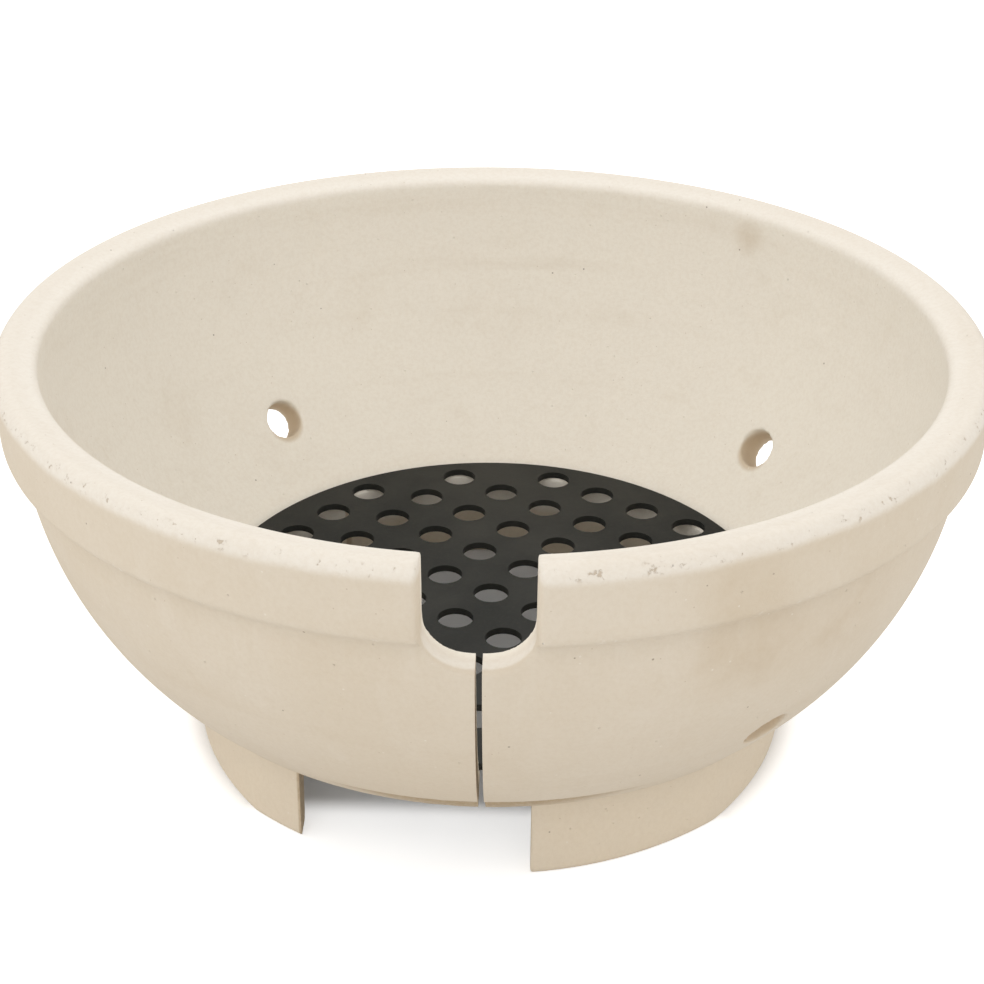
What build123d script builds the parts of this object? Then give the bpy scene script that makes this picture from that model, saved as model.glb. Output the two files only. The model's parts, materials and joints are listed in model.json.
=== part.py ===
from build123d import *
import math
import os

# Fire bowl of a large ceramic kamado grill, with the perforated plate that the
# charcoal lies on. Millimetres, +Z up. The origin is on the bowl's axis, in the
# plane that the foot ring stands on. The notch in the rim faces -Y.

# Overall
HEIGHT = 231.0            # foot plane to the rim's outer edge
RIM_OUTER_R = 254.5       # a 20 in bowl
RIM_WALL = 22.5           # width of the rim, and wall of the collar
RIM_FALL = 6.5            # the rim's top slopes down this much towards the inside
RIM_INNER_ROUND = 4.5     # rounding of the rim's inner edge
RIM_OUTER_ROUND = 7.0     # rounding of the rim's outer edge

# Collar, the thicker band under the rim
COLLAR_H = 42.0
COLLAR_DRAFT = 1.0        # the collar is this much narrower at its foot
COLLAR_STEP = 9.0         # how far the wall steps in under the collar
STEP_ROUND = 4.2          # rounding of the step's outer and inner corners

# Bowl below the collar
BOWL_ARC_R = 190.0        # radius of the outer wall's curve, seen from the side
LIP_R = 181.0             # sharp lip where the bowl ends over the foot ring
LIP_Z = 53.0
CHEEK_H = 6.0             # narrow undercut strip below the lip
CHEEK_IN = 3.5
TUCK_Z = 68.5             # at the front the wall is tucked in below this height,
TUCK_DEPTH = 5.0          # this far on the centre line,
TUCK_SHIFT = 18.5         # and fades out to the sides, because its axis lies this far back
TUCK_SLOPE = 0.85         # how fast the tuck narrows downwards

# Foot ring
FOOT_R = 165.0            # outer radius at the ground
FOOT_DRAFT = 2.0          # the ring is this much narrower at its top
FOOT_WALL = 14.0          # wall of the ring at the ground
FOOT_CHAMFER = 2.0
DOOR_W = 117.0            # air and ash door, cut straight through the ring's front
DOOR_X = -34.5            # middle of the door, left of the notch
DOOR_CORNER = 3.0         # rounding of the door's upper corners

# Inside
LEDGE_Z = 58.0            # flat ledge that carries the plate
LEDGE_W = 11.5
INNER_ARC_R = 222.0       # radius of the inner wall's curve, seen from the side

# Notch and expansion slit, both at the front
NOTCH_W = 48.0
NOTCH_DEPTH = 58.0
NOTCH_CORNER = 20.5       # rounding of the notch's bottom corners
SLIT_W = 3.6

# Round air holes through the wall, square to it
AIR_HOLE_D = 27.0
AIR_HOLE_TILT = 38.0      # degrees that they slope down towards the outside
AIR_HOLES = ((-51.5, 105.0), (36.0, 98.0), (133.0, 98.0), (217.0, 98.0))
                          # direction in degrees, and height on the inner wall

# Charcoal plate
PLATE_R = 159.0
PLATE_T = 4.0
PLATE_GAP = 3.0           # all round, between the plate and the wall
PLATE_EDGE = 0.8
HOLE_D = 20.0
HOLE_PITCH = 33.0
PLATE_TURN = -35.3        # how the plate happens to lie, degrees

# Worked out
RIM_INNER_R = RIM_OUTER_R - RIM_WALL
RIM_INNER_Z = HEIGHT - RIM_FALL
COLLAR_Z = HEIGHT - COLLAR_H
COLLAR_LOW_R = RIM_OUTER_R - COLLAR_DRAFT
NECK_R = COLLAR_LOW_R - COLLAR_STEP
CHEEK_Z = LIP_Z - CHEEK_H
CHEEK_R = LIP_R - CHEEK_IN
LEDGE_OUT_R = PLATE_R + PLATE_GAP
LEDGE_IN_R = LEDGE_OUT_R - LEDGE_W
FOOT_IN_R = FOOT_R - FOOT_WALL


def corner(sketch, r, z):
    """The corner of the bowl's section that lies nearest to radius r, height z."""
    return min(sketch.vertices(), key=lambda v: math.hypot(v.X - r, v.Y - z))


def bowl_section():
    """Half of the bowl's section, in the XZ plane."""
    with BuildSketch(Plane.XZ) as section:
        with BuildLine():
            Polyline((FOOT_IN_R, 0), (FOOT_R, 0), (FOOT_R - FOOT_DRAFT, CHEEK_Z),
                     (CHEEK_R, CHEEK_Z), (LIP_R, LIP_Z))
            RadiusArc((LIP_R, LIP_Z), (NECK_R, COLLAR_Z), -BOWL_ARC_R)
            Polyline((NECK_R, COLLAR_Z), (COLLAR_LOW_R, COLLAR_Z), (RIM_OUTER_R, HEIGHT),
                     (RIM_INNER_R, RIM_INNER_Z))
            RadiusArc((RIM_INNER_R, RIM_INNER_Z), (LEDGE_OUT_R, LEDGE_Z), INNER_ARC_R)
            Polyline((LEDGE_OUT_R, LEDGE_Z), (LEDGE_IN_R, LEDGE_Z), (FOOT_IN_R, 0))
        make_face()
        fillet(corner(section, RIM_OUTER_R, HEIGHT), RIM_OUTER_ROUND)
        fillet(corner(section, RIM_INNER_R, RIM_INNER_Z), RIM_INNER_ROUND)
        fillet(corner(section, COLLAR_LOW_R, COLLAR_Z), STEP_ROUND)
        fillet(corner(section, NECK_R, COLLAR_Z), STEP_ROUND)
        for r in (FOOT_R, FOOT_IN_R):
            chamfer(corner(section, r, 0), FOOT_CHAMFER)
    return section.sketch


def door_cutter():
    """Straight cut that takes the front door out of the foot ring."""
    with BuildPart() as door:
        with BuildSketch(Plane.XZ):
            with Locations((DOOR_X, CHEEK_Z)):
                RectangleRounded(DOOR_W, 2 * CHEEK_Z, DOOR_CORNER,
                                 align=(Align.CENTER, Align.MAX))
        extrude(amount=RIM_OUTER_R)
    return door.part


def tuck_cutter():
    """Ring that tucks the wall in over the door; its axis lies behind the bowl's."""
    wall = wall_r(TUCK_Z, (NECK_R, COLLAR_Z), (LIP_R, LIP_Z), BOWL_ARC_R)
    top = wall - TUCK_DEPTH + TUCK_SHIFT
    low = top - (TUCK_Z - CHEEK_Z) * TUCK_SLOPE
    with BuildPart() as ring:
        with BuildSketch(Plane.XZ):
            with BuildLine():
                Polyline((low, CHEEK_Z), (2 * RIM_OUTER_R, CHEEK_Z),
                         (2 * RIM_OUTER_R, TUCK_Z), (top, TUCK_Z), close=True)
            make_face()
        revolve(axis=Axis.Z)
    return Pos(0, TUCK_SHIFT, 0) * ring.part


def notch_cutter():
    """Round-bottomed notch through the rim, and the slit that runs down from it."""
    bottom = HEIGHT - NOTCH_DEPTH
    with BuildPart() as cutter:
        with BuildSketch(Plane.XZ):
            with Locations((0, bottom)):
                RectangleRounded(NOTCH_W, 2 * NOTCH_DEPTH, NOTCH_CORNER,
                                 align=(Align.CENTER, Align.MIN))
            with Locations((0, bottom + NOTCH_CORNER)):
                Rectangle(SLIT_W, 2 * HEIGHT, align=(Align.CENTER, Align.MAX))
        extrude(amount=RIM_OUTER_R + 10)
    with BuildPart() as core:
        Cylinder(LEDGE_IN_R - 20, 4 * HEIGHT)
    return cutter.part - core.part


def air_hole_cutter(direction, z):
    """One sloping air hole; the cutter starts inside the bowl and ends outside it."""
    a, t = math.radians(direction), math.radians(AIR_HOLE_TILT)
    out = Vector(math.cos(a) * math.cos(t), math.sin(a) * math.cos(t), -math.sin(t))
    mid = wall_r(z, (RIM_INNER_R, RIM_INNER_Z), (LEDGE_OUT_R, LEDGE_Z), INNER_ARC_R)
    at = Vector(mid * math.cos(a), mid * math.sin(a), z)
    reach = 2 * RIM_WALL
    return Plane(at + out * (reach / 4), z_dir=out) * Cylinder(AIR_HOLE_D / 2, reach)


def wall_r(z, high, low, arc_r):
    """Radius at height z of a wall curved with arc_r between two points (r, z)."""
    (r1, z1), (r2, z2) = high, low
    half = math.hypot(r2 - r1, z2 - z1) / 2
    rise = math.sqrt(arc_r ** 2 - half ** 2)
    centre_r = (r1 + r2) / 2 - rise * (z1 - z2) / (2 * half)
    centre_z = (z1 + z2) / 2 + rise * (r1 - r2) / (2 * half)
    return centre_r + math.sqrt(arc_r ** 2 - (z - centre_z) ** 2)


def fire_bowl():
    bowl = revolve(bowl_section(), Axis.Z)
    bowl -= tuck_cutter()
    bowl -= door_cutter()
    bowl -= notch_cutter()
    for direction, z in AIR_HOLES:
        bowl -= air_hole_cutter(direction, z)
    return bowl


def plate_holes():
    """Square grid of seven by seven holes, and four rows of four outside it."""
    half_rows = (-1.5, -0.5, 0.5, 1.5)
    grid = [(i, j) for i in range(-3, 4) for j in range(-3, 4)]
    for side in (-4, 4):
        grid += [(side, k) for k in half_rows] + [(k, side) for k in half_rows]
    return [(i * HOLE_PITCH, j * HOLE_PITCH) for i, j in grid]


def charcoal_plate():
    seat = Plane.XY.offset(LEDGE_Z).rotated((0, 0, PLATE_TURN))
    with BuildPart(seat) as plate:
        Cylinder(PLATE_R, PLATE_T, align=(Align.CENTER, Align.CENTER, Align.MIN))
        chamfer(plate.edges(), PLATE_EDGE)
        with BuildSketch(seat):
            with Locations(*plate_holes()):
                Circle(HOLE_D / 2)
        extrude(amount=PLATE_T, mode=Mode.SUBTRACT)
    return plate.part


os.makedirs("parts", exist_ok=True)
for name, piece in (("fire_bowl", fire_bowl()), ("charcoal_plate", charcoal_plate())):
    print(name, len(piece.solids()), "solid", piece.bounding_box())
    export_step(piece, "parts/" + name + ".step")
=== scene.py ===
import json
import math

import bpy
from mathutils import Matrix, Vector

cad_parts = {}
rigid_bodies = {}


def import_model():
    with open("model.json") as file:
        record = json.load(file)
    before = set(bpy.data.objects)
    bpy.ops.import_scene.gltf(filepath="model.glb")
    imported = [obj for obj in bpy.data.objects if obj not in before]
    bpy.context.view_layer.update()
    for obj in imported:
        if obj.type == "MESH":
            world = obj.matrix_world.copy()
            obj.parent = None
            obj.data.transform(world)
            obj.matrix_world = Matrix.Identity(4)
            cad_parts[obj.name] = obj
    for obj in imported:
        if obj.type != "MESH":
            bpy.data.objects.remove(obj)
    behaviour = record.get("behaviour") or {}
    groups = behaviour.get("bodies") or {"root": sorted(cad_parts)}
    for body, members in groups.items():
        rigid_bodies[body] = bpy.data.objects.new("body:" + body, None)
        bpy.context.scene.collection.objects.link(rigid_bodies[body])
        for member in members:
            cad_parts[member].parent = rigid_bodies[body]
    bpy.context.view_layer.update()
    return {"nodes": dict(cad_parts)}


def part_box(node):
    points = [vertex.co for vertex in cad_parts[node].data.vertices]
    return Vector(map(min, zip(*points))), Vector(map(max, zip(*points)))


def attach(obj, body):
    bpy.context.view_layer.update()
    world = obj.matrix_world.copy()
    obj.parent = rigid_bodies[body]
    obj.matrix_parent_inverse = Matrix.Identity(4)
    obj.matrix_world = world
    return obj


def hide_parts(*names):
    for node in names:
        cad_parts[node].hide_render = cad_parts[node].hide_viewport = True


bl_info = {
    "name": "Fire bowl with charcoal plate",
    "version": (1, 0, 0),
    "blender": (4, 5, 0),
    "location": "View3D > Sidebar > Fire bowl",
    "description": "Models a cast ceramic fire bowl and finishes its perforated charcoal plate",
    "category": "Object",
}

MM = 0.001
FULL_TURN = 2 * math.pi

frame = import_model()
PLATE_LOW, PLATE_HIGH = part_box("charcoal_plate")


def length(name, text, value):
    return bpy.props.FloatProperty(name=name, description=text, default=value, min=0.0,
                                   precision=4, unit="LENGTH")


def colour(name, text, value):
    return bpy.props.FloatVectorProperty(name=name, description=text, default=value, size=3,
                                         min=0.0, max=1.0, subtype="COLOR")


class BowlSizes(bpy.types.PropertyGroup):
    """Sizes of the ceramic bowl."""
    height: length("Height", "Ground to the rim's outer edge, before it is rounded", 0.231)
    rim_radius: length("Rim radius", "Outer radius of the rim", 0.2545)
    rim_width: length("Rim width", "Width of the rim's top", 0.0225)
    rim_fall: length("Rim fall", "How far the rim's top slopes down inwards", 0.0065)
    rim_outer_round: length("Outer rounding", "Rounding of the rim's outer edge", 0.007)
    rim_inner_round: length("Inner rounding", "Rounding of the rim's inner edge", 0.0045)
    collar_height: length("Collar height", "Height of the thick band under the rim", 0.042)
    collar_draft: length("Collar draft", "How much the collar narrows downwards", 0.001)
    collar_step: length("Collar step", "How far the wall steps in under the collar", 0.009)
    step_slope: length("Step slope", "Height over which the step runs in", 0.006)
    step_round: length("Step rounding", "Rounding of the step's two corners", 0.005)
    wall_curve: length("Wall curve", "Radius of the outer wall, seen from the side", 0.190)
    inner_curve: length("Inner curve", "Radius of the inner wall, seen from the side", 0.222)
    lip_radius: length("Lip radius", "Where the wall ends over the foot ring", 0.181)
    lip_height: length("Lip height", "Height of the lip above the ground", 0.053)
    cheek_height: length("Cheek height", "Height of the strip under the lip", 0.006)
    cheek_depth: length("Cheek depth", "How far that strip slopes in", 0.0035)
    tuck_height: length("Tuck height", "Height of the crease over the door", 0.0685)
    tuck_depth: length("Tuck depth", "How deep that crease is on the centre line", 0.005)
    tuck_shift: length("Tuck shift", "How far the crease's axis lies behind the bowl's", 0.0185)
    tuck_slope: bpy.props.FloatProperty(name="Tuck slope", default=0.85, min=0.0,
                                        description="How fast the tuck narrows downwards")
    foot_radius: length("Foot radius", "Outer radius of the foot ring", 0.168)
    foot_square: bpy.props.FloatProperty(name="Foot squareness", default=0.08, min=0.0, max=0.3,
                                         description="How far the foot ring leans to a square",
                                         subtype="FACTOR")
    foot_forward: bpy.props.FloatProperty(name="Foot stretch", default=1.02, min=1.0, max=1.2,
                                          description="Stretch of the ring's front half")
    foot_draft: length("Foot draft", "How much narrower the foot ring is at its top", 0.002)
    foot_wall: length("Foot wall", "Thickness of the foot ring at the ground", 0.014)
    foot_edge: length("Foot edge", "Rounding of the foot ring's edges", 0.002)
    ledge_height: length("Ledge height", "Height of the ledge under the plate",
                         round(PLATE_LOW.z, 4))
    ledge_width: length("Ledge width", "Width of that ledge", 0.0115)
    plate_gap: length("Plate gap", "Between the plate and the wall", 0.003)
    plate_radius: length("Plate radius", "Radius of the charcoal plate",
                         round((PLATE_HIGH.x - PLATE_LOW.x) / 2, 4))
    door_width: length("Door width", "Width of the air door in the foot ring", 0.117)
    door_shift: length("Door shift", "How far the door's middle lies left of the notch", 0.0345)
    door_corner: length("Door corner", "Rounding of the door's upper corners", 0.003)
    notch_width: length("Notch width", "Width of the notch in the rim", 0.048)
    notch_depth: length("Notch depth", "Depth of the notch", 0.058)
    notch_corner: length("Notch corner", "Rounding of the notch's bottom corners", 0.0205)
    sill_round: length("Sill rounding", "Soft edge of the notch's bottom, outside", 0.015)
    side_round: length("Side rounding", "Soft edge of the notch's sides, outside", 0.006)
    slit_width: length("Slit width", "Width of the expansion slit", 0.0031)
    air_hole: length("Air hole", "Diameter of the round air holes", 0.0230)
    air_tilt: bpy.props.FloatProperty(name="Air hole tilt", default=math.radians(38),
                                      description="How far the air holes slope down outwards",
                                      subtype="ANGLE")
    clay_grain: length("Clay softness", "Voxel that softens the cast edges", 0.00135)


class FinishColours(bpy.types.PropertyGroup):
    """Colours of the finishes, as linear values."""
    clay: colour("Clay", "Bare cream ceramic, outside", (0.715, 0.62, 0.49))
    # Inside is the same ceramic made paler than the outer clay: painted light on the inner wall
    inside: colour("Inside", "Ceramic inside the bowl", (0.90, 0.84, 0.735))
    # Pale mottling on the ceramic, and also painted light on the rim's top and in the scoop
    # below the notch
    bloom_and_painted_light: colour("Bloom", "Paler bloom on the ceramic", (0.86, 0.80, 0.71))
    tan: colour("Tan", "Warmer, tan patches", (0.56, 0.43, 0.28))
    # Foot is the clay made paler: painted light on the foot ring, against the bowl's shade
    foot: colour("Foot", "Ceramic of the foot ring", (0.77, 0.665, 0.52))
    # Dark brown: painted shade under the front lip where the wall is tucked in, and the darker
    # end of the left foot
    dark_brown: colour("Scorch", "Brown kiln stain under the front lip", (0.40, 0.28, 0.15))
    rub: colour("Rub", "Rubbed and chipped edges", (0.42, 0.30, 0.18))
    speck: colour("Speck", "Small dark specks", (0.20, 0.14, 0.09))
    coating: colour("Coating", "Dark coating of the charcoal plate", (0.014, 0.015, 0.013))
    dust: colour("Dust", "Dust on the plate", (0.050, 0.048, 0.040))
    floor: colour("Floor", "Plain pale floor", (0.86, 0.86, 0.86))


# Direction in degrees, and height on the inner wall
AIR_HOLES = ((-51.5, 0.105), (36.0, 0.098), (133.0, 0.098), (217.0, 0.098))
FOOT_CHIP = (0.0815, -0.1520, -0.0005)
MOST_TRIANGLES = 188000

# Place, radius, fade and strength of the brown kiln marks
KILN_MARKS = (((0.151, 0.175, 0.211), 0.002, 0.013, 0.50),
              ((0.112, -0.227, 0.205), 0.004, 0.024, 0.50),
              ((0.120, -0.214, 0.172), 0.006, 0.036, 0.50),
              ((0.165, -0.180, 0.165), 0.004, 0.045, 0.32))
PIT_BY_NOTCH = (0.0282, -0.2500, 0.1885)
LEFT_FOOT_END_X = -0.093

# Name, place, diameter and power of the lamps
LAMPS = (("front", (-0.6, -1.8, 1.65), 1.8, 10), ("right", (1.9, -0.4, 1.6), 1.8, 8),
         ("left", (-1.9, 0.0, 1.6), 1.8, 8), ("back", (0.2, 1.9, 1.6), 1.8, 9))
LAMPS_AIM = (0, 0, 0.1)
ROOM_LIGHT = 0.76
FLOOR_GLOW = 0.52

# The camera, as fitted to the photograph
VIEW_PIXELS = 984
FOCAL_PIXELS = 1804.19
SENSOR_MM = 36
CAMERA_AWAY = 0.9449824
CAMERA_AIM_HEIGHT = 0.222
CAMERA_ABOVE, CAMERA_AIM_DOWN, CAMERA_TURN, CAMERA_ROLL = (
    math.radians(angle) for angle in (23.45, 28.537, 1.2, 0.474))


# Modelling by hand, in steps


def deselect_all():
    for other in bpy.context.view_layer.objects:
        other.select_set(False)


def select_only(piece):
    deselect_all()
    piece.select_set(True)
    bpy.context.view_layer.objects.active = piece


def edit_all(piece):
    select_only(piece)
    bpy.ops.object.mode_set(mode="EDIT")
    bpy.ops.mesh.select_mode(type="VERT")
    bpy.ops.mesh.select_all(action="SELECT")


def pick(piece, test):
    """In edit mode, select the vertices that pass a test on their place."""
    bpy.ops.mesh.select_all(action="DESELECT")
    bpy.ops.object.mode_set(mode="OBJECT")
    for vertex in piece.data.vertices:
        vertex.select = bool(test(vertex.co))
    bpy.ops.object.mode_set(mode="EDIT")


def leave_edit():
    bpy.ops.object.mode_set(mode="OBJECT")


def wire(name, points, closed):
    """A vertex extruded through points (across, up), in the XZ plane."""
    deselect_all()
    bpy.ops.mesh.primitive_plane_add(size=MM, location=(0, 0, 0))
    line = bpy.context.object
    line.name = line.data.name = name
    edit_all(line)
    bpy.ops.mesh.merge(type="CENTER")
    here = Vector((points[0][0], 0, points[0][1]))
    bpy.ops.transform.translate(value=here)
    for across, up in points[1:]:
        there = Vector((across, 0, up))
        bpy.ops.mesh.extrude_region_move(TRANSFORM_OT_translate={"value": there - here})
        here = there
    bpy.ops.mesh.select_all(action="SELECT")
    if closed:
        bpy.ops.mesh.remove_doubles(threshold=0.02 * MM)
    return line


def bulge(start, end, radius, steps):
    """Points of an arc between two points, away from the bowl's axis."""
    (x1, z1), (x2, z2) = start, end
    half = math.hypot(x2 - x1, z2 - z1) / 2
    rise = math.sqrt(radius ** 2 - half ** 2)
    up = 1 if z2 > z1 else -1
    cx = (x1 + x2) / 2 - up * rise * (z2 - z1) / (2 * half)
    cz = (z1 + z2) / 2 + up * rise * (x2 - x1) / (2 * half)
    a, b = math.atan2(z1 - cz, x1 - cx), math.atan2(z2 - cz, x2 - cx)
    return [(cx + radius * math.cos(a + (b - a) * k / steps),
             cz + radius * math.sin(a + (b - a) * k / steps)) for k in range(steps + 1)]


def rounded(before, tip, after, radius, steps):
    """Points that round a corner of a section by a radius."""
    tip, before, after = Vector(tip), Vector(before), Vector(after)
    u, v = (before - tip).normalized(), (after - tip).normalized()
    half = u.angle(v) / 2
    reach = radius / math.tan(half)
    centre = tip + (u + v).normalized() * radius / math.sin(half)
    first, last = tip + u * reach - centre, tip + v * reach - centre
    turn = first.angle_signed(last)
    return [tuple(centre + Matrix.Rotation(-turn * k / steps, 2) @ first)
            for k in range(steps + 1)]


def spin_round(steps):
    """Spin the wire in edit mode into a closed shell, and leave edit mode."""
    bpy.ops.mesh.spin(steps=steps, angle=FULL_TURN, center=(0, 0, 0), axis=(0, 0, 1))
    bpy.ops.mesh.select_all(action="SELECT")
    bpy.ops.mesh.remove_doubles(threshold=0.02 * MM)
    bpy.ops.mesh.normals_make_consistent(inside=False)
    leave_edit()


def cut(piece, tool):
    """Take a tool out of a piece, and throw the tool away."""
    select_only(piece)
    change = piece.modifiers.new("cut", "BOOLEAN")
    change.operation, change.object, change.solver = "DIFFERENCE", tool, "EXACT"
    bpy.ops.object.modifier_apply(modifier=change.name)
    bpy.data.objects.remove(tool)


# Ceramic bowl


def bowl_section(s):
    """Section of the bowl as (radius, height), from the ground up and back inside."""
    collar_z = s.height - s.collar_height
    collar_r = s.rim_radius - s.collar_draft
    neck = (collar_r - s.collar_step, collar_z - s.step_slope / 2)
    cheek_z = s.lip_height - s.cheek_height
    cheek = (s.lip_radius - s.cheek_depth, cheek_z)
    lip = (s.lip_radius, s.lip_height)
    shoulder = (collar_r, collar_z + s.step_slope / 2)
    rim_out = (s.rim_radius, s.height)
    rim_in = (s.rim_radius - s.rim_width, s.height - s.rim_fall)
    ledge_out = (s.plate_radius + s.plate_gap, s.ledge_height)
    ledge_in = (ledge_out[0] - s.ledge_width, s.ledge_height)
    foot_in = s.foot_radius - s.foot_wall
    edge = s.foot_edge
    outer = bulge(lip, neck, s.wall_curve, 40)
    inner = bulge(rim_in, ledge_out, s.inner_curve, 48)

    points = [(foot_in + edge, 0), (s.foot_radius - edge, 0), (s.foot_radius, edge),
              (s.foot_radius - s.foot_draft, cheek_z), cheek]
    at_neck = rounded(outer[-3], neck, shoulder, s.step_round, 6)
    points += [p for p in outer if p[1] < at_neck[0][1] - 1 * MM] + at_neck
    points += rounded(neck, shoulder, rim_out, s.step_round, 6)
    points += rounded(shoulder, rim_out, rim_in, s.rim_outer_round, 8)
    at_inner = rounded(rim_out, rim_in, inner[2], s.rim_inner_round, 7)
    points += at_inner + [p for p in inner if p[1] < at_inner[-1][1] - 1 * MM]
    points += [ledge_in, (foot_in, edge), (foot_in + edge, 0)]
    return points


def square_foot(piece, s):
    """Lean the foot ring's plan towards a square, and stretch it to the front."""
    top = s.lip_height - s.cheek_height + 0.1 * MM
    below_ledge = s.ledge_height - 20 * MM

    def in_ring(co, reach):
        out = co.xy.length
        return co.z < top and out < s.foot_radius + reach and (
            co.z < below_ledge or out > s.foot_radius - 8 * MM)

    group = piece.vertex_groups.new(name="foot")
    group.add([v.index for v in piece.data.vertices if in_ring(v.co, 1 * MM)], 1.0, "REPLACE")
    select_only(piece)
    lean = piece.modifiers.new("lean", "CAST")
    lean.cast_type, lean.factor, lean.vertex_group = "CUBOID", s.foot_square, "foot"
    lean.use_x, lean.use_y, lean.use_z = True, True, False
    lean.size, lean.use_radius_as_size = 130 * MM, False
    bpy.ops.object.modifier_apply(modifier=lean.name)
    piece.vertex_groups.clear()
    edit_all(piece)
    pick(piece, lambda co: co.y < 0 and in_ring(co, 3 * MM))
    bpy.ops.transform.resize(value=(1, s.foot_forward, 1), center_override=(0, 0, 0))
    leave_edit()


def tuck_tool(s):
    """Ring that tucks the wall in over the door."""
    cheek_z = s.lip_height - s.cheek_height
    collar_z = s.height - s.collar_height
    neck = (s.rim_radius - s.collar_draft - s.collar_step, collar_z)
    arc = bulge((s.lip_radius, s.lip_height), neck, s.wall_curve, 200)
    wall = min(arc, key=lambda p: abs(p[1] - s.tuck_height))[0]
    top = wall - s.tuck_depth + s.tuck_shift
    low = top - (s.tuck_height - cheek_z) * s.tuck_slope
    far = 2 * s.rim_radius
    under = cheek_z - 0.01 * MM
    tool = wire("tuck_tool", [(low, under), (far, under), (far, s.tuck_height),
                              (top, s.tuck_height), (low, under)], True)
    spin_round(180)
    select_only(tool)
    tool.location.y = s.tuck_shift
    bpy.ops.object.transform_apply(location=True, rotation=False, scale=False)
    return tool


def door_tool(s):
    """Block that opens the front of the foot ring."""
    cheek_z = s.lip_height - s.cheek_height
    high = 2 * cheek_z
    deselect_all()
    bpy.ops.mesh.primitive_cube_add(size=1, location=(-s.door_shift, -s.rim_radius / 2, 0),
                                    scale=(s.door_width, s.rim_radius, high))
    tool = bpy.context.object
    bpy.ops.object.transform_apply(location=True, rotation=False, scale=True)
    edit_all(tool)
    bpy.ops.mesh.select_mode(type="EDGE")
    bpy.ops.mesh.select_all(action="DESELECT")
    leave_edit()
    for edge in tool.data.edges:
        a, b = (tool.data.vertices[k].co for k in edge.vertices)
        edge.select = min(a.z, b.z) > 0 and abs(a.y - b.y) > 0.1
    bpy.ops.object.mode_set(mode="EDIT")
    bpy.ops.mesh.bevel(offset=s.door_corner, segments=4)
    leave_edit()
    return tool


def notch_tool(s):
    """Round-bottomed notch, flared outwards and a little inwards, as the cast edge is."""
    half, r = s.notch_width / 2, s.notch_corner
    bottom, top = s.height - s.notch_depth, s.height + 8 * MM
    round_end = [(half - r + r * math.cos(math.radians(a)),
                  bottom + r + r * math.sin(math.radians(a))) for a in range(-90, 1, 9)]
    shape = [(-half, top)] + [(-x, z) for x, z in reversed(round_end)] + round_end
    shape += [(half, top)]
    tool = wire("notch_tool", shape, False)
    bpy.ops.mesh.edge_face_add()
    bpy.ops.mesh.select_all(action="SELECT")

    # how far from the axis, and how much wider and deeper the tool is there
    inner, outer = s.rim_radius - s.rim_width - 7 * MM, s.rim_radius
    flare = 17 * MM
    stops = [(inner - 22 * MM, 3.0 * MM, 3.0 * MM), (inner, 1.6 * MM, 1.6 * MM),
             (inner + 1.5 * MM, 0.7 * MM, 0.7 * MM), (inner + 3.5 * MM, 0.0, 0.0)]
    for a in range(0, 91, 10):
        opening = 1 - math.cos(math.radians(a))
        stops.append((outer - flare + flare * math.sin(math.radians(a)),
                      s.side_round * opening ** 1.6, s.sill_round * opening))
    stops.append((outer + 12 * MM, s.side_round + 6 * MM, s.sill_round + 9 * MM))

    wide, deep, here = 1.0, 1.0, 0.0
    for out, side, sill in stops:
        new_wide, new_deep = 1 + side / half, 1 + sill / s.notch_depth
        step = Vector((0, -out - here, 0))
        if here == 0.0:
            bpy.ops.transform.translate(value=step)
        else:
            bpy.ops.mesh.extrude_region_move(TRANSFORM_OT_translate={"value": step})
        bpy.ops.transform.resize(value=(new_wide / wide, 1, new_deep / deep),
                                 center_override=(0, 0, s.height))
        wide, deep, here = new_wide, new_deep, -out
    bpy.ops.mesh.select_all(action="SELECT")
    bpy.ops.mesh.normals_make_consistent(inside=False)
    leave_edit()
    return tool


def slit_tool(s):
    """Thin blade for the expansion slit, a little wider at its foot."""
    bottom = s.height - s.notch_depth
    inside = s.plate_radius + s.plate_gap - s.ledge_width - 20 * MM
    long = s.rim_radius + 20 * MM - inside
    deselect_all()
    bpy.ops.mesh.primitive_cube_add(size=1, location=(0, -inside - long / 2,
                                                      bottom / 2 + 4 * MM),
                                    scale=(s.slit_width, long, bottom + 28 * MM))
    tool = bpy.context.object
    bpy.ops.object.transform_apply(location=True, rotation=False, scale=True)
    edit_all(tool)
    bpy.ops.mesh.bisect(plane_co=(0, 0, 60 * MM), plane_no=(0, 0, 1))
    pick(tool, lambda co: co.z < 10 * MM)
    bpy.ops.transform.resize(value=(1.9, 1, 1), center_override=(0, 0, 0))
    leave_edit()
    return tool


def air_hole_tool(s, direction, z, wall):
    """Sloping round bar for one air hole; it starts inside the bowl and ends outside."""
    a = math.radians(direction)
    out = Vector((math.cos(a) * math.cos(s.air_tilt), math.sin(a) * math.cos(s.air_tilt),
                  -math.sin(s.air_tilt)))
    at = Vector((wall * math.cos(a), wall * math.sin(a), z))
    reach = 2 * s.rim_width
    turn = out.to_track_quat("Z", "Y").to_euler()
    deselect_all()
    bpy.ops.mesh.primitive_cylinder_add(vertices=64, radius=s.air_hole / 2, depth=reach,
                                        location=at + out * (reach / 4), rotation=turn)
    tool = bpy.context.object
    bpy.ops.object.transform_apply(location=True, rotation=True, scale=True)
    return tool


def inner_wall_at(s, z):
    """Radius of the inner wall at a height."""
    rim_in = (s.rim_radius - s.rim_width, s.height - s.rim_fall)
    ledge_out = (s.plate_radius + s.plate_gap, s.ledge_height)
    arc = bulge(rim_in, ledge_out, s.inner_curve, 400)
    return min(arc, key=lambda p: abs(p[1] - z))[0]


# Finishes


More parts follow.
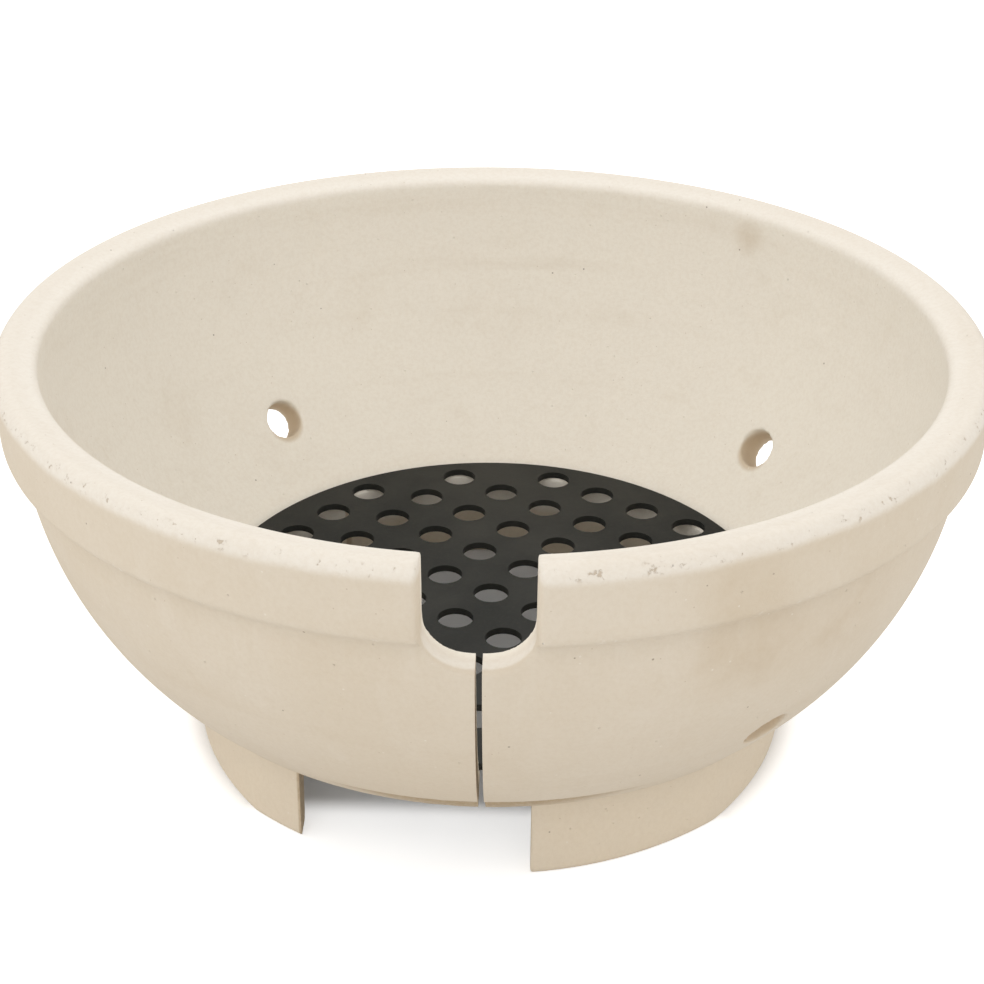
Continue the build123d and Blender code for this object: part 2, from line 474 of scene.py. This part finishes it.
class Recipe:
    """A material, built node by node."""

    def __init__(self, name):
        self.material = bpy.data.materials.new(name)
        self.material.use_nodes = True
        self.tree = self.material.node_tree
        self.shader = self.tree.nodes["Principled BSDF"]
        self.place = self.add("ShaderNodeTexCoord").outputs["Object"]
        parts = self.add("ShaderNodeSeparateXYZ")
        self.link(self.place, parts.inputs[0])
        self.x, self.y, self.z = parts.outputs

    def add(self, kind, **settings):
        node = self.tree.nodes.new(kind)
        for name, value in settings.items():
            setattr(node, name, value)
        return node

    def link(self, a, b):
        self.tree.links.new(a, b)

    def noise(self, scale, detail=4.0, rough=0.55, stretch=None, warp=0.0):
        node = self.add("ShaderNodeTexNoise")
        node.inputs["Scale"].default_value = scale
        node.inputs["Detail"].default_value = detail
        node.inputs["Roughness"].default_value = rough
        node.inputs["Distortion"].default_value = warp
        place = self.place
        if stretch:
            mapping = self.add("ShaderNodeMapping")
            mapping.inputs["Scale"].default_value = stretch
            self.link(place, mapping.inputs["Vector"])
            place = mapping.outputs["Vector"]
        self.link(place, node.inputs["Vector"])
        return node.outputs["Fac"]

    def ramp(self, source, low, high, start=0.0, end=1.0):
        """A value from start at low to end at high, smoothly."""
        node = self.add("ShaderNodeMapRange", interpolation_type="SMOOTHSTEP")
        for name, value in (("From Min", low), ("From Max", high), ("To Min", start),
                            ("To Max", end)):
            node.inputs[name].default_value = value
        self.link(source, node.inputs["Value"])
        return node.outputs["Result"]

    def sum_up(self, operation, a, b):
        node = self.add("ShaderNodeMath", operation=operation)
        for socket, value in zip(node.inputs, (a, b)):
            if isinstance(value, (int, float)):
                socket.default_value = value
            else:
                self.link(value, socket)
        return node.outputs[0]

    def times(self, a, b):
        return self.sum_up("MULTIPLY", a, b)

    def plus(self, a, b):
        return self.sum_up("ADD", a, b)

    def minus(self, a, b):
        return self.sum_up("SUBTRACT", a, b)

    def band(self, source, start, full, end, gone):
        """1 from full to end, fading to 0 at start and at gone."""
        return self.times(self.ramp(source, start, full), self.ramp(source, end, gone, 1.0, 0.0))

    def mix(self, amount, under, over):
        node = self.add("ShaderNodeMix", data_type="RGBA")
        self.link(amount, node.inputs[0])
        for socket, value in ((node.inputs[6], under), (node.inputs[7], over)):
            if hasattr(value, "is_linked"):
                self.link(value, socket)
            else:
                socket.default_value = (*value, 1)
        return node.outputs[2]

    def dots(self, scale, size, keep):
        """Sparse round dots: 1 inside a dot, 0 outside."""
        cells = self.add("ShaderNodeTexVoronoi", feature="F1")
        cells.inputs["Scale"].default_value = scale
        self.link(self.place, cells.inputs["Vector"])
        near = self.ramp(cells.outputs["Distance"], size * 0.6, size, 1.0, 0.0)
        parts = self.add("ShaderNodeSeparateColor")
        self.link(cells.outputs["Color"], parts.inputs[0])
        chosen = self.ramp(parts.outputs[0], 1 - keep, 1 - keep + 0.002)
        return self.times(near, chosen)

    def spot(self, centre, radius, soft):
        """1 near a place in metres, fading to 0."""
        node = self.add("ShaderNodeVectorMath", operation="DISTANCE")
        self.link(self.place, node.inputs[0])
        node.inputs[1].default_value = centre
        return self.ramp(node.outputs["Value"], radius, radius + soft, 1.0, 0.0)

    def bump(self, height, strength, distance, under=None):
        node = self.add("ShaderNodeBump")
        node.inputs["Strength"].default_value = strength
        node.inputs["Distance"].default_value = distance
        self.link(height, node.inputs["Height"])
        if under is not None:
            self.link(under, node.inputs["Normal"])
        return node.outputs["Normal"]

    def out_from_axis(self):
        """Distance from the bowl's axis."""
        flat = self.add("ShaderNodeVectorMath", operation="MULTIPLY")
        self.link(self.place, flat.inputs[0])
        flat.inputs[1].default_value = (1, 1, 0)
        long = self.add("ShaderNodeVectorMath", operation="LENGTH")
        self.link(flat.outputs["Vector"], long.inputs[0])
        return long.outputs["Value"]


def middle_of_wall(z):
    """Radius in the middle of the bowl's wall at a height."""
    level = z - 0.055
    return 0.171 + 0.8 * level - 2.3 * level ** 2


def outside_of_bowl(r, out):
    """1 on the bowl's outer half and 0 on its inner half, by middle_of_wall."""
    level = r.plus(r.z, -0.055)
    curve = r.plus(r.times(level, 0.8), r.times(r.times(level, level), -2.3))
    return r.ramp(r.minus(out, r.plus(curve, 0.171)), -0.004, 0.004)


def clay_tones(r, c, outside, drift):
    """Warmer outside; paler inside and on the rim as painted light; with clouds, streaks and
    rings.
    """
    # painted light: the inner half takes the paler inside colour
    body = r.mix(outside, c.inside, c.clay)
    # Painted light: the rim's top is made paler
    rim = r.ramp(r.plus(r.z, r.times(drift, 0.004)), 0.2215, 0.2265)
    body = r.mix(r.times(rim, 0.85), body, c.bloom_and_painted_light)
    clouds = r.ramp(r.noise(7, 4, 0.55), 0.38, 0.70)
    body = r.mix(r.times(clouds, 0.22), body, c.bloom_and_painted_light)
    body = r.mix(r.times(r.ramp(drift, 0.50, 0.80), 0.11), body, c.tan)
    streaks = r.ramp(r.noise(55, 5, 0.65, stretch=(1.0, 1.0, 0.16)), 0.52, 0.80)
    body = r.mix(r.times(streaks, 0.16), body, c.bloom_and_painted_light)
    rings = r.ramp(r.noise(16, 5, 0.6, stretch=(0.25, 0.25, 3.4)), 0.50, 0.82)
    return r.mix(r.times(rings, 0.13), body, c.tan)


def foot_painted_light_and_end(r, c, body, outside, drift, sand):
    """The foot ring made paler as painted light against the bowl's shade on it, and the darker
    brown end of the left foot.
    """
    foot = r.times(r.ramp(r.z, 0.0460, 0.0480, 1.0, 0.0), outside)
    # painted light: the foot ring is made paler where the bowl shades it
    body = r.mix(r.times(foot, r.ramp(drift, 0.3, 0.7, 0.95, 0.70)), body, c.foot)
    end = r.band(r.x, LEFT_FOOT_END_X - 0.0020, LEFT_FOOT_END_X - 0.0008,
                 LEFT_FOOT_END_X + 0.0008, LEFT_FOOT_END_X + 0.0025)
    end = r.times(end, r.ramp(r.z, 0.0475, 0.0490, 1.0, 0.0))
    return r.mix(r.times(end, r.ramp(sand, 0.3, 0.7, 0.45, 0.75)), body, c.dark_brown)


def tuck_painted_shade(r, c, body, out, outside, sand):
    """Painted brown shade where the wall is tucked in over the door."""
    plain_wall = r.plus(r.times(r.plus(r.z, -0.053), 0.97), 0.181)
    tucked = r.times(r.ramp(r.minus(plain_wall, out), 0.0012, 0.0030), outside)
    tucked = r.times(tucked, r.band(r.z, 0.0462, 0.0474, 0.0680, 0.0695))
    # painted shade: brown on the tucked strip under the lip
    return r.mix(r.times(tucked, r.ramp(sand, 0.3, 0.7, 0.55, 0.85)), body, c.dark_brown)


def scoop_painted_light(r, c, body, out, outside):
    """The scoop below the notch is painted paler, as painted light."""
    skin = r.plus(r.times(r.plus(r.z, -0.15), 0.235), 0.2365)
    scoop = r.times(r.ramp(r.minus(skin, out), 0.0004, 0.0028), outside)
    scoop = r.times(scoop, r.spot((0, -0.243, 0.172), 0.026, 0.008))
    return r.mix(r.times(scoop, 0.90), body, c.bloom_and_painted_light)


def marks_and_specks(r, c, body, drift):
    """Kiln marks, tan in the air holes, the pit by the notch and small specks."""
    for centre, radius, fade, strength in KILN_MARKS:
        mark = r.times(r.spot(centre, radius, fade), r.ramp(drift, 0.3, 0.7, 0.35, 1.0))
        body = r.mix(r.times(mark, strength), body, c.tan)
    for direction, height in AIR_HOLES:
        a, middle = math.radians(direction), middle_of_wall(height)
        centre = (middle * math.cos(a), middle * math.sin(a), height - 8 * MM)
        body = r.mix(r.times(r.spot(centre, 0.0130, 0.003), 0.70), body, c.tan)
    body = r.mix(r.times(r.spot(PIT_BY_NOTCH, 0.0008, 0.0008), 0.8), body, c.speck)
    for scale, size, keep, strength, tone in ((150, 0.10, 0.035, 0.62, c.speck),
                                              (340, 0.15, 0.050, 0.40, c.rub),
                                              (260, 0.16, 0.040, 0.50, c.bloom_and_painted_light)):
        body = r.mix(r.times(r.dots(scale, size, keep), strength), body, tone)
    return body


def cast_clay(c):
    """Bare, kiln-fired cream ceramic."""
    r = Recipe("cast_clay")
    out = r.out_from_axis()
    outside = outside_of_bowl(r, out)
    drift = r.noise(30, 6, 0.62, warp=0.5)
    grain = r.noise(1100, 2, 0.6)
    sand = r.noise(420, 4, 0.7)

    body = clay_tones(r, c, outside, drift)
    body = foot_painted_light_and_end(r, c, body, outside, drift, sand)
    body = tuck_painted_shade(r, c, body, out, outside, sand)
    rim_edge = r.times(r.ramp(out, 0.2465, 0.2500), r.band(r.z, 0.2215, 0.2245, 0.2262, 0.2280))
    chips = r.times(rim_edge, r.ramp(r.noise(240, 4, 0.7, warp=0.4), 0.60, 0.66))
    body = r.mix(r.times(chips, 0.55), body, c.rub)
    step = r.times(r.band(r.z, 0.184, 0.189, 0.193, 0.197), outside)
    scuffs = r.times(step, r.ramp(r.noise(190, 4, 0.7), 0.60, 0.68))
    body = r.mix(r.times(scuffs, 0.40), body, c.bloom_and_painted_light)
    body = scoop_painted_light(r, c, body, out, outside)
    body = marks_and_specks(r, c, body, drift)
    r.link(r.mix(r.times(r.ramp(sand, 0.35, 0.72), 0.12), body, c.tan),
           r.shader.inputs["Base Color"])

    r.link(r.ramp(drift, 0.3, 0.7, 0.90, 0.78), r.shader.inputs["Roughness"])
    r.shader.inputs["Specular IOR Level"].default_value = 0.2
    relief = r.bump(grain, 0.25, 0.0003)
    relief = r.bump(sand, 0.22, 0.0006, relief)
    relief = r.bump(r.noise(40, 4, 0.5), 0.20, 0.0018, relief)
    relief = r.bump(r.times(r.dots(230, 0.13, 0.05), -1.0), 0.8, 0.0007, relief)
    relief = r.bump(r.times(chips, -1.0), 0.5, 0.0008, relief)
    r.link(relief, r.shader.inputs["Normal"])
    return r.material


def dark_coating(c):
    """Satin dark coating with a little dust."""
    r = Recipe("dark_coating")
    cloud = r.noise(11, 5, 0.6)
    fine = r.noise(520, 3, 0.6)
    body = r.mix(r.times(r.ramp(cloud, 0.35, 0.75), 0.30), c.coating, c.dust)
    body = r.mix(r.times(r.dots(260, 0.10, 0.03), 0.6), body, c.dust)
    body = r.mix(r.times(r.ramp(fine, 0.45, 0.75), 0.16), body, c.dust)
    r.link(body, r.shader.inputs["Base Color"])
    r.link(r.ramp(cloud, 0.3, 0.7, 0.62, 0.48), r.shader.inputs["Roughness"])
    r.shader.inputs["Specular IOR Level"].default_value = 0.22
    peel = r.bump(r.noise(380, 2, 0.5), 0.10, 0.0004)
    r.link(r.bump(fine, 0.08, 0.0002, peel), r.shader.inputs["Normal"])
    return r.material


def pale_floor(c):
    """Plain floor; the camera sees it near white but for the shade under the bowl."""
    r = Recipe("pale_floor")
    r.shader.inputs["Base Color"].default_value = (*c.floor, 1)
    r.shader.inputs["Roughness"].default_value = 1.0
    r.shader.inputs["Specular IOR Level"].default_value = 0.0
    glow = r.add("ShaderNodeEmission")
    beyond_foot = r.ramp(r.out_from_axis(), 0.160, 0.180)
    before_door = r.ramp(r.y, -0.124, -0.106, 1.0, 0.0)
    lit = r.sum_up("MAXIMUM", beyond_foot, before_door)
    r.link(r.times(lit, FLOOR_GLOW), glow.inputs["Strength"])
    seen = r.add("ShaderNodeAddShader")
    path = r.add("ShaderNodeLightPath")
    either = r.add("ShaderNodeMixShader")
    r.link(r.shader.outputs[0], seen.inputs[0])
    r.link(glow.outputs[0], seen.inputs[1])
    r.link(path.outputs["Is Camera Ray"], either.inputs[0])
    r.link(r.shader.outputs[0], either.inputs[1])
    r.link(seen.outputs[0], either.inputs[2])
    r.link(either.outputs[0], r.tree.nodes["Material Output"].inputs["Surface"])
    return r.material


# Operators


class OBJECT_OT_fire_bowl(bpy.types.Operator):
    """Model the ceramic bowl: section, spin, cuts and softened edges"""
    bl_idname = "object.fire_bowl_add"
    bl_label = "Ceramic bowl"
    bl_options = {"REGISTER", "UNDO"}

    def execute(self, context):
        s = context.scene.bowl_sizes
        bowl = wire("ceramic_bowl", bowl_section(s), True)
        spin_round(300)
        square_foot(bowl, s)
        cut(bowl, tuck_tool(s))
        cut(bowl, door_tool(s))
        cut(bowl, notch_tool(s))
        deselect_all()
        bpy.ops.mesh.primitive_ico_sphere_add(subdivisions=2, radius=4 * MM,
                                              location=FOOT_CHIP)
        cut(bowl, context.object)
        for direction, z in AIR_HOLES:
            cut(bowl, air_hole_tool(s, direction, z, inner_wall_at(s, z)))
        select_only(bowl)
        soften = bowl.modifiers.new("soften", "REMESH")
        soften.mode, soften.voxel_size, soften.adaptivity = "VOXEL", s.clay_grain, 0.0
        soften.use_smooth_shade = True
        bpy.ops.object.modifier_apply(modifier=soften.name)
        ease = bowl.modifiers.new("ease", "SMOOTH")
        ease.factor, ease.iterations = 0.5, 3
        bpy.ops.object.modifier_apply(modifier=ease.name)
        thin = bowl.modifiers.new("thin", "DECIMATE")
        thin.ratio = min(1.0, MOST_TRIANGLES / (2 * len(bowl.data.polygons)))
        bpy.ops.object.modifier_apply(modifier=thin.name)
        cut(bowl, slit_tool(s))
        select_only(bowl)
        bpy.ops.object.shade_smooth_by_angle(angle=math.radians(50))
        bowl.data.materials.clear()
        bowl.data.materials.append(cast_clay(context.scene.finish_colours))
        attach(bowl, "bowl")
        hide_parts("fire_bowl")
        return {"FINISHED"}


class OBJECT_OT_charcoal_plate(bpy.types.Operator):
    """Give the perforated charcoal plate its dark coating"""
    bl_idname = "object.charcoal_plate_finish"
    bl_label = "Charcoal plate"
    bl_options = {"REGISTER", "UNDO"}

    def execute(self, context):
        plate = frame["nodes"]["charcoal_plate"]
        coating = dark_coating(context.scene.finish_colours)
        for slot in plate.material_slots:
            slot.material = coating
        return {"FINISHED"}


class OBJECT_OT_bowl_stage(bpy.types.Operator):
    """Set the floor, the lights, the pale surroundings and the camera"""
    bl_idname = "object.bowl_stage_add"
    bl_label = "Stage"
    bl_options = {"REGISTER", "UNDO"}

    def execute(self, context):
        c = context.scene.finish_colours
        deselect_all()
        bpy.ops.mesh.primitive_circle_add(vertices=96, radius=4, fill_type="NGON",
                                          location=(0, 0, 0))
        floor = context.object
        floor.name = "floor"
        floor.data.materials.append(pale_floor(c))
        self.surroundings(context)
        for name, place, size, power in LAMPS:
            lamp = bpy.data.lights.new(name, "AREA")
            lamp.shape, lamp.size, lamp.energy = "DISK", size, power
            light = bpy.data.objects.new(name, lamp)
            light.location = place
            aim = Vector(LAMPS_AIM) - Vector(place)
            light.rotation_euler = aim.to_track_quat("-Z", "Y").to_euler()
            context.scene.collection.objects.link(light)
        self.camera(context)
        return {"FINISHED"}

    def surroundings(self, context):
        world = bpy.data.worlds.new("pale_room")
        context.scene.world = world
        world.use_nodes = True
        nodes, links = world.node_tree.nodes, world.node_tree.links
        room = nodes["Background"]
        room.inputs["Color"].default_value = (1, 1, 1, 1)
        room.inputs["Strength"].default_value = ROOM_LIGHT
        white = nodes.new("ShaderNodeBackground")
        white.inputs["Strength"].default_value = 1.0
        path = nodes.new("ShaderNodeLightPath")
        either = nodes.new("ShaderNodeMath")
        either.operation = "MAXIMUM"
        mix = nodes.new("ShaderNodeMixShader")
        links.new(path.outputs["Is Camera Ray"], either.inputs[0])
        links.new(path.outputs["Is Glossy Ray"], either.inputs[1])
        links.new(either.outputs[0], mix.inputs[0])
        links.new(room.outputs[0], mix.inputs[1])
        links.new(white.outputs[0], mix.inputs[2])
        links.new(mix.outputs[0], nodes["World Output"].inputs["Surface"])

    def camera(self, context):
        lens = bpy.data.cameras.new("camera")
        lens.sensor_width, lens.clip_end = SENSOR_MM, 50
        lens.lens = FOCAL_PIXELS * SENSOR_MM / VIEW_PIXELS
        camera = bpy.data.objects.new("camera", lens)
        context.scene.collection.objects.link(camera)
        level = CAMERA_AWAY * math.cos(CAMERA_ABOVE)
        camera.matrix_world = (
            Matrix.Translation((level * math.sin(CAMERA_TURN), -level * math.cos(CAMERA_TURN),
                                CAMERA_AIM_HEIGHT + CAMERA_AWAY * math.sin(CAMERA_ABOVE)))
            @ Matrix.Rotation(CAMERA_TURN, 4, "Z")
            @ Matrix.Rotation(math.pi / 2 - CAMERA_AIM_DOWN, 4, "X")
            @ Matrix.Rotation(CAMERA_ROLL, 4, "Z"))
        context.scene.camera = camera
        context.scene.view_settings.view_transform = "Standard"


class VIEW3D_PT_fire_bowl(bpy.types.Panel):
    """Buttons and sizes of the fire bowl"""
    bl_label = "Fire bowl"
    bl_idname = "VIEW3D_PT_fire_bowl"
    bl_space_type = "VIEW_3D"
    bl_region_type = "UI"
    bl_category = "Fire bowl"

    def draw(self, context):
        column = self.layout.column()
        for button in (OBJECT_OT_fire_bowl, OBJECT_OT_charcoal_plate, OBJECT_OT_bowl_stage):
            column.operator(button.bl_idname)
        for group in (context.scene.bowl_sizes, context.scene.finish_colours):
            for name in group.__annotations__:
                column.prop(group, name)


CLASSES = (BowlSizes, FinishColours, OBJECT_OT_fire_bowl, OBJECT_OT_charcoal_plate,
           OBJECT_OT_bowl_stage, VIEW3D_PT_fire_bowl)


def register():
    for item in CLASSES:
        bpy.utils.register_class(item)
    bpy.types.Scene.bowl_sizes = bpy.props.PointerProperty(type=BowlSizes)
    bpy.types.Scene.finish_colours = bpy.props.PointerProperty(type=FinishColours)


def unregister():
    del bpy.types.Scene.finish_colours
    del bpy.types.Scene.bowl_sizes
    for item in reversed(CLASSES):
        bpy.utils.unregister_class(item)


def main():
    register()
    bpy.ops.object.fire_bowl_add()
    bpy.ops.object.charcoal_plate_finish()
    bpy.ops.object.bowl_stage_add()


if __name__ == "__main__":
    main()
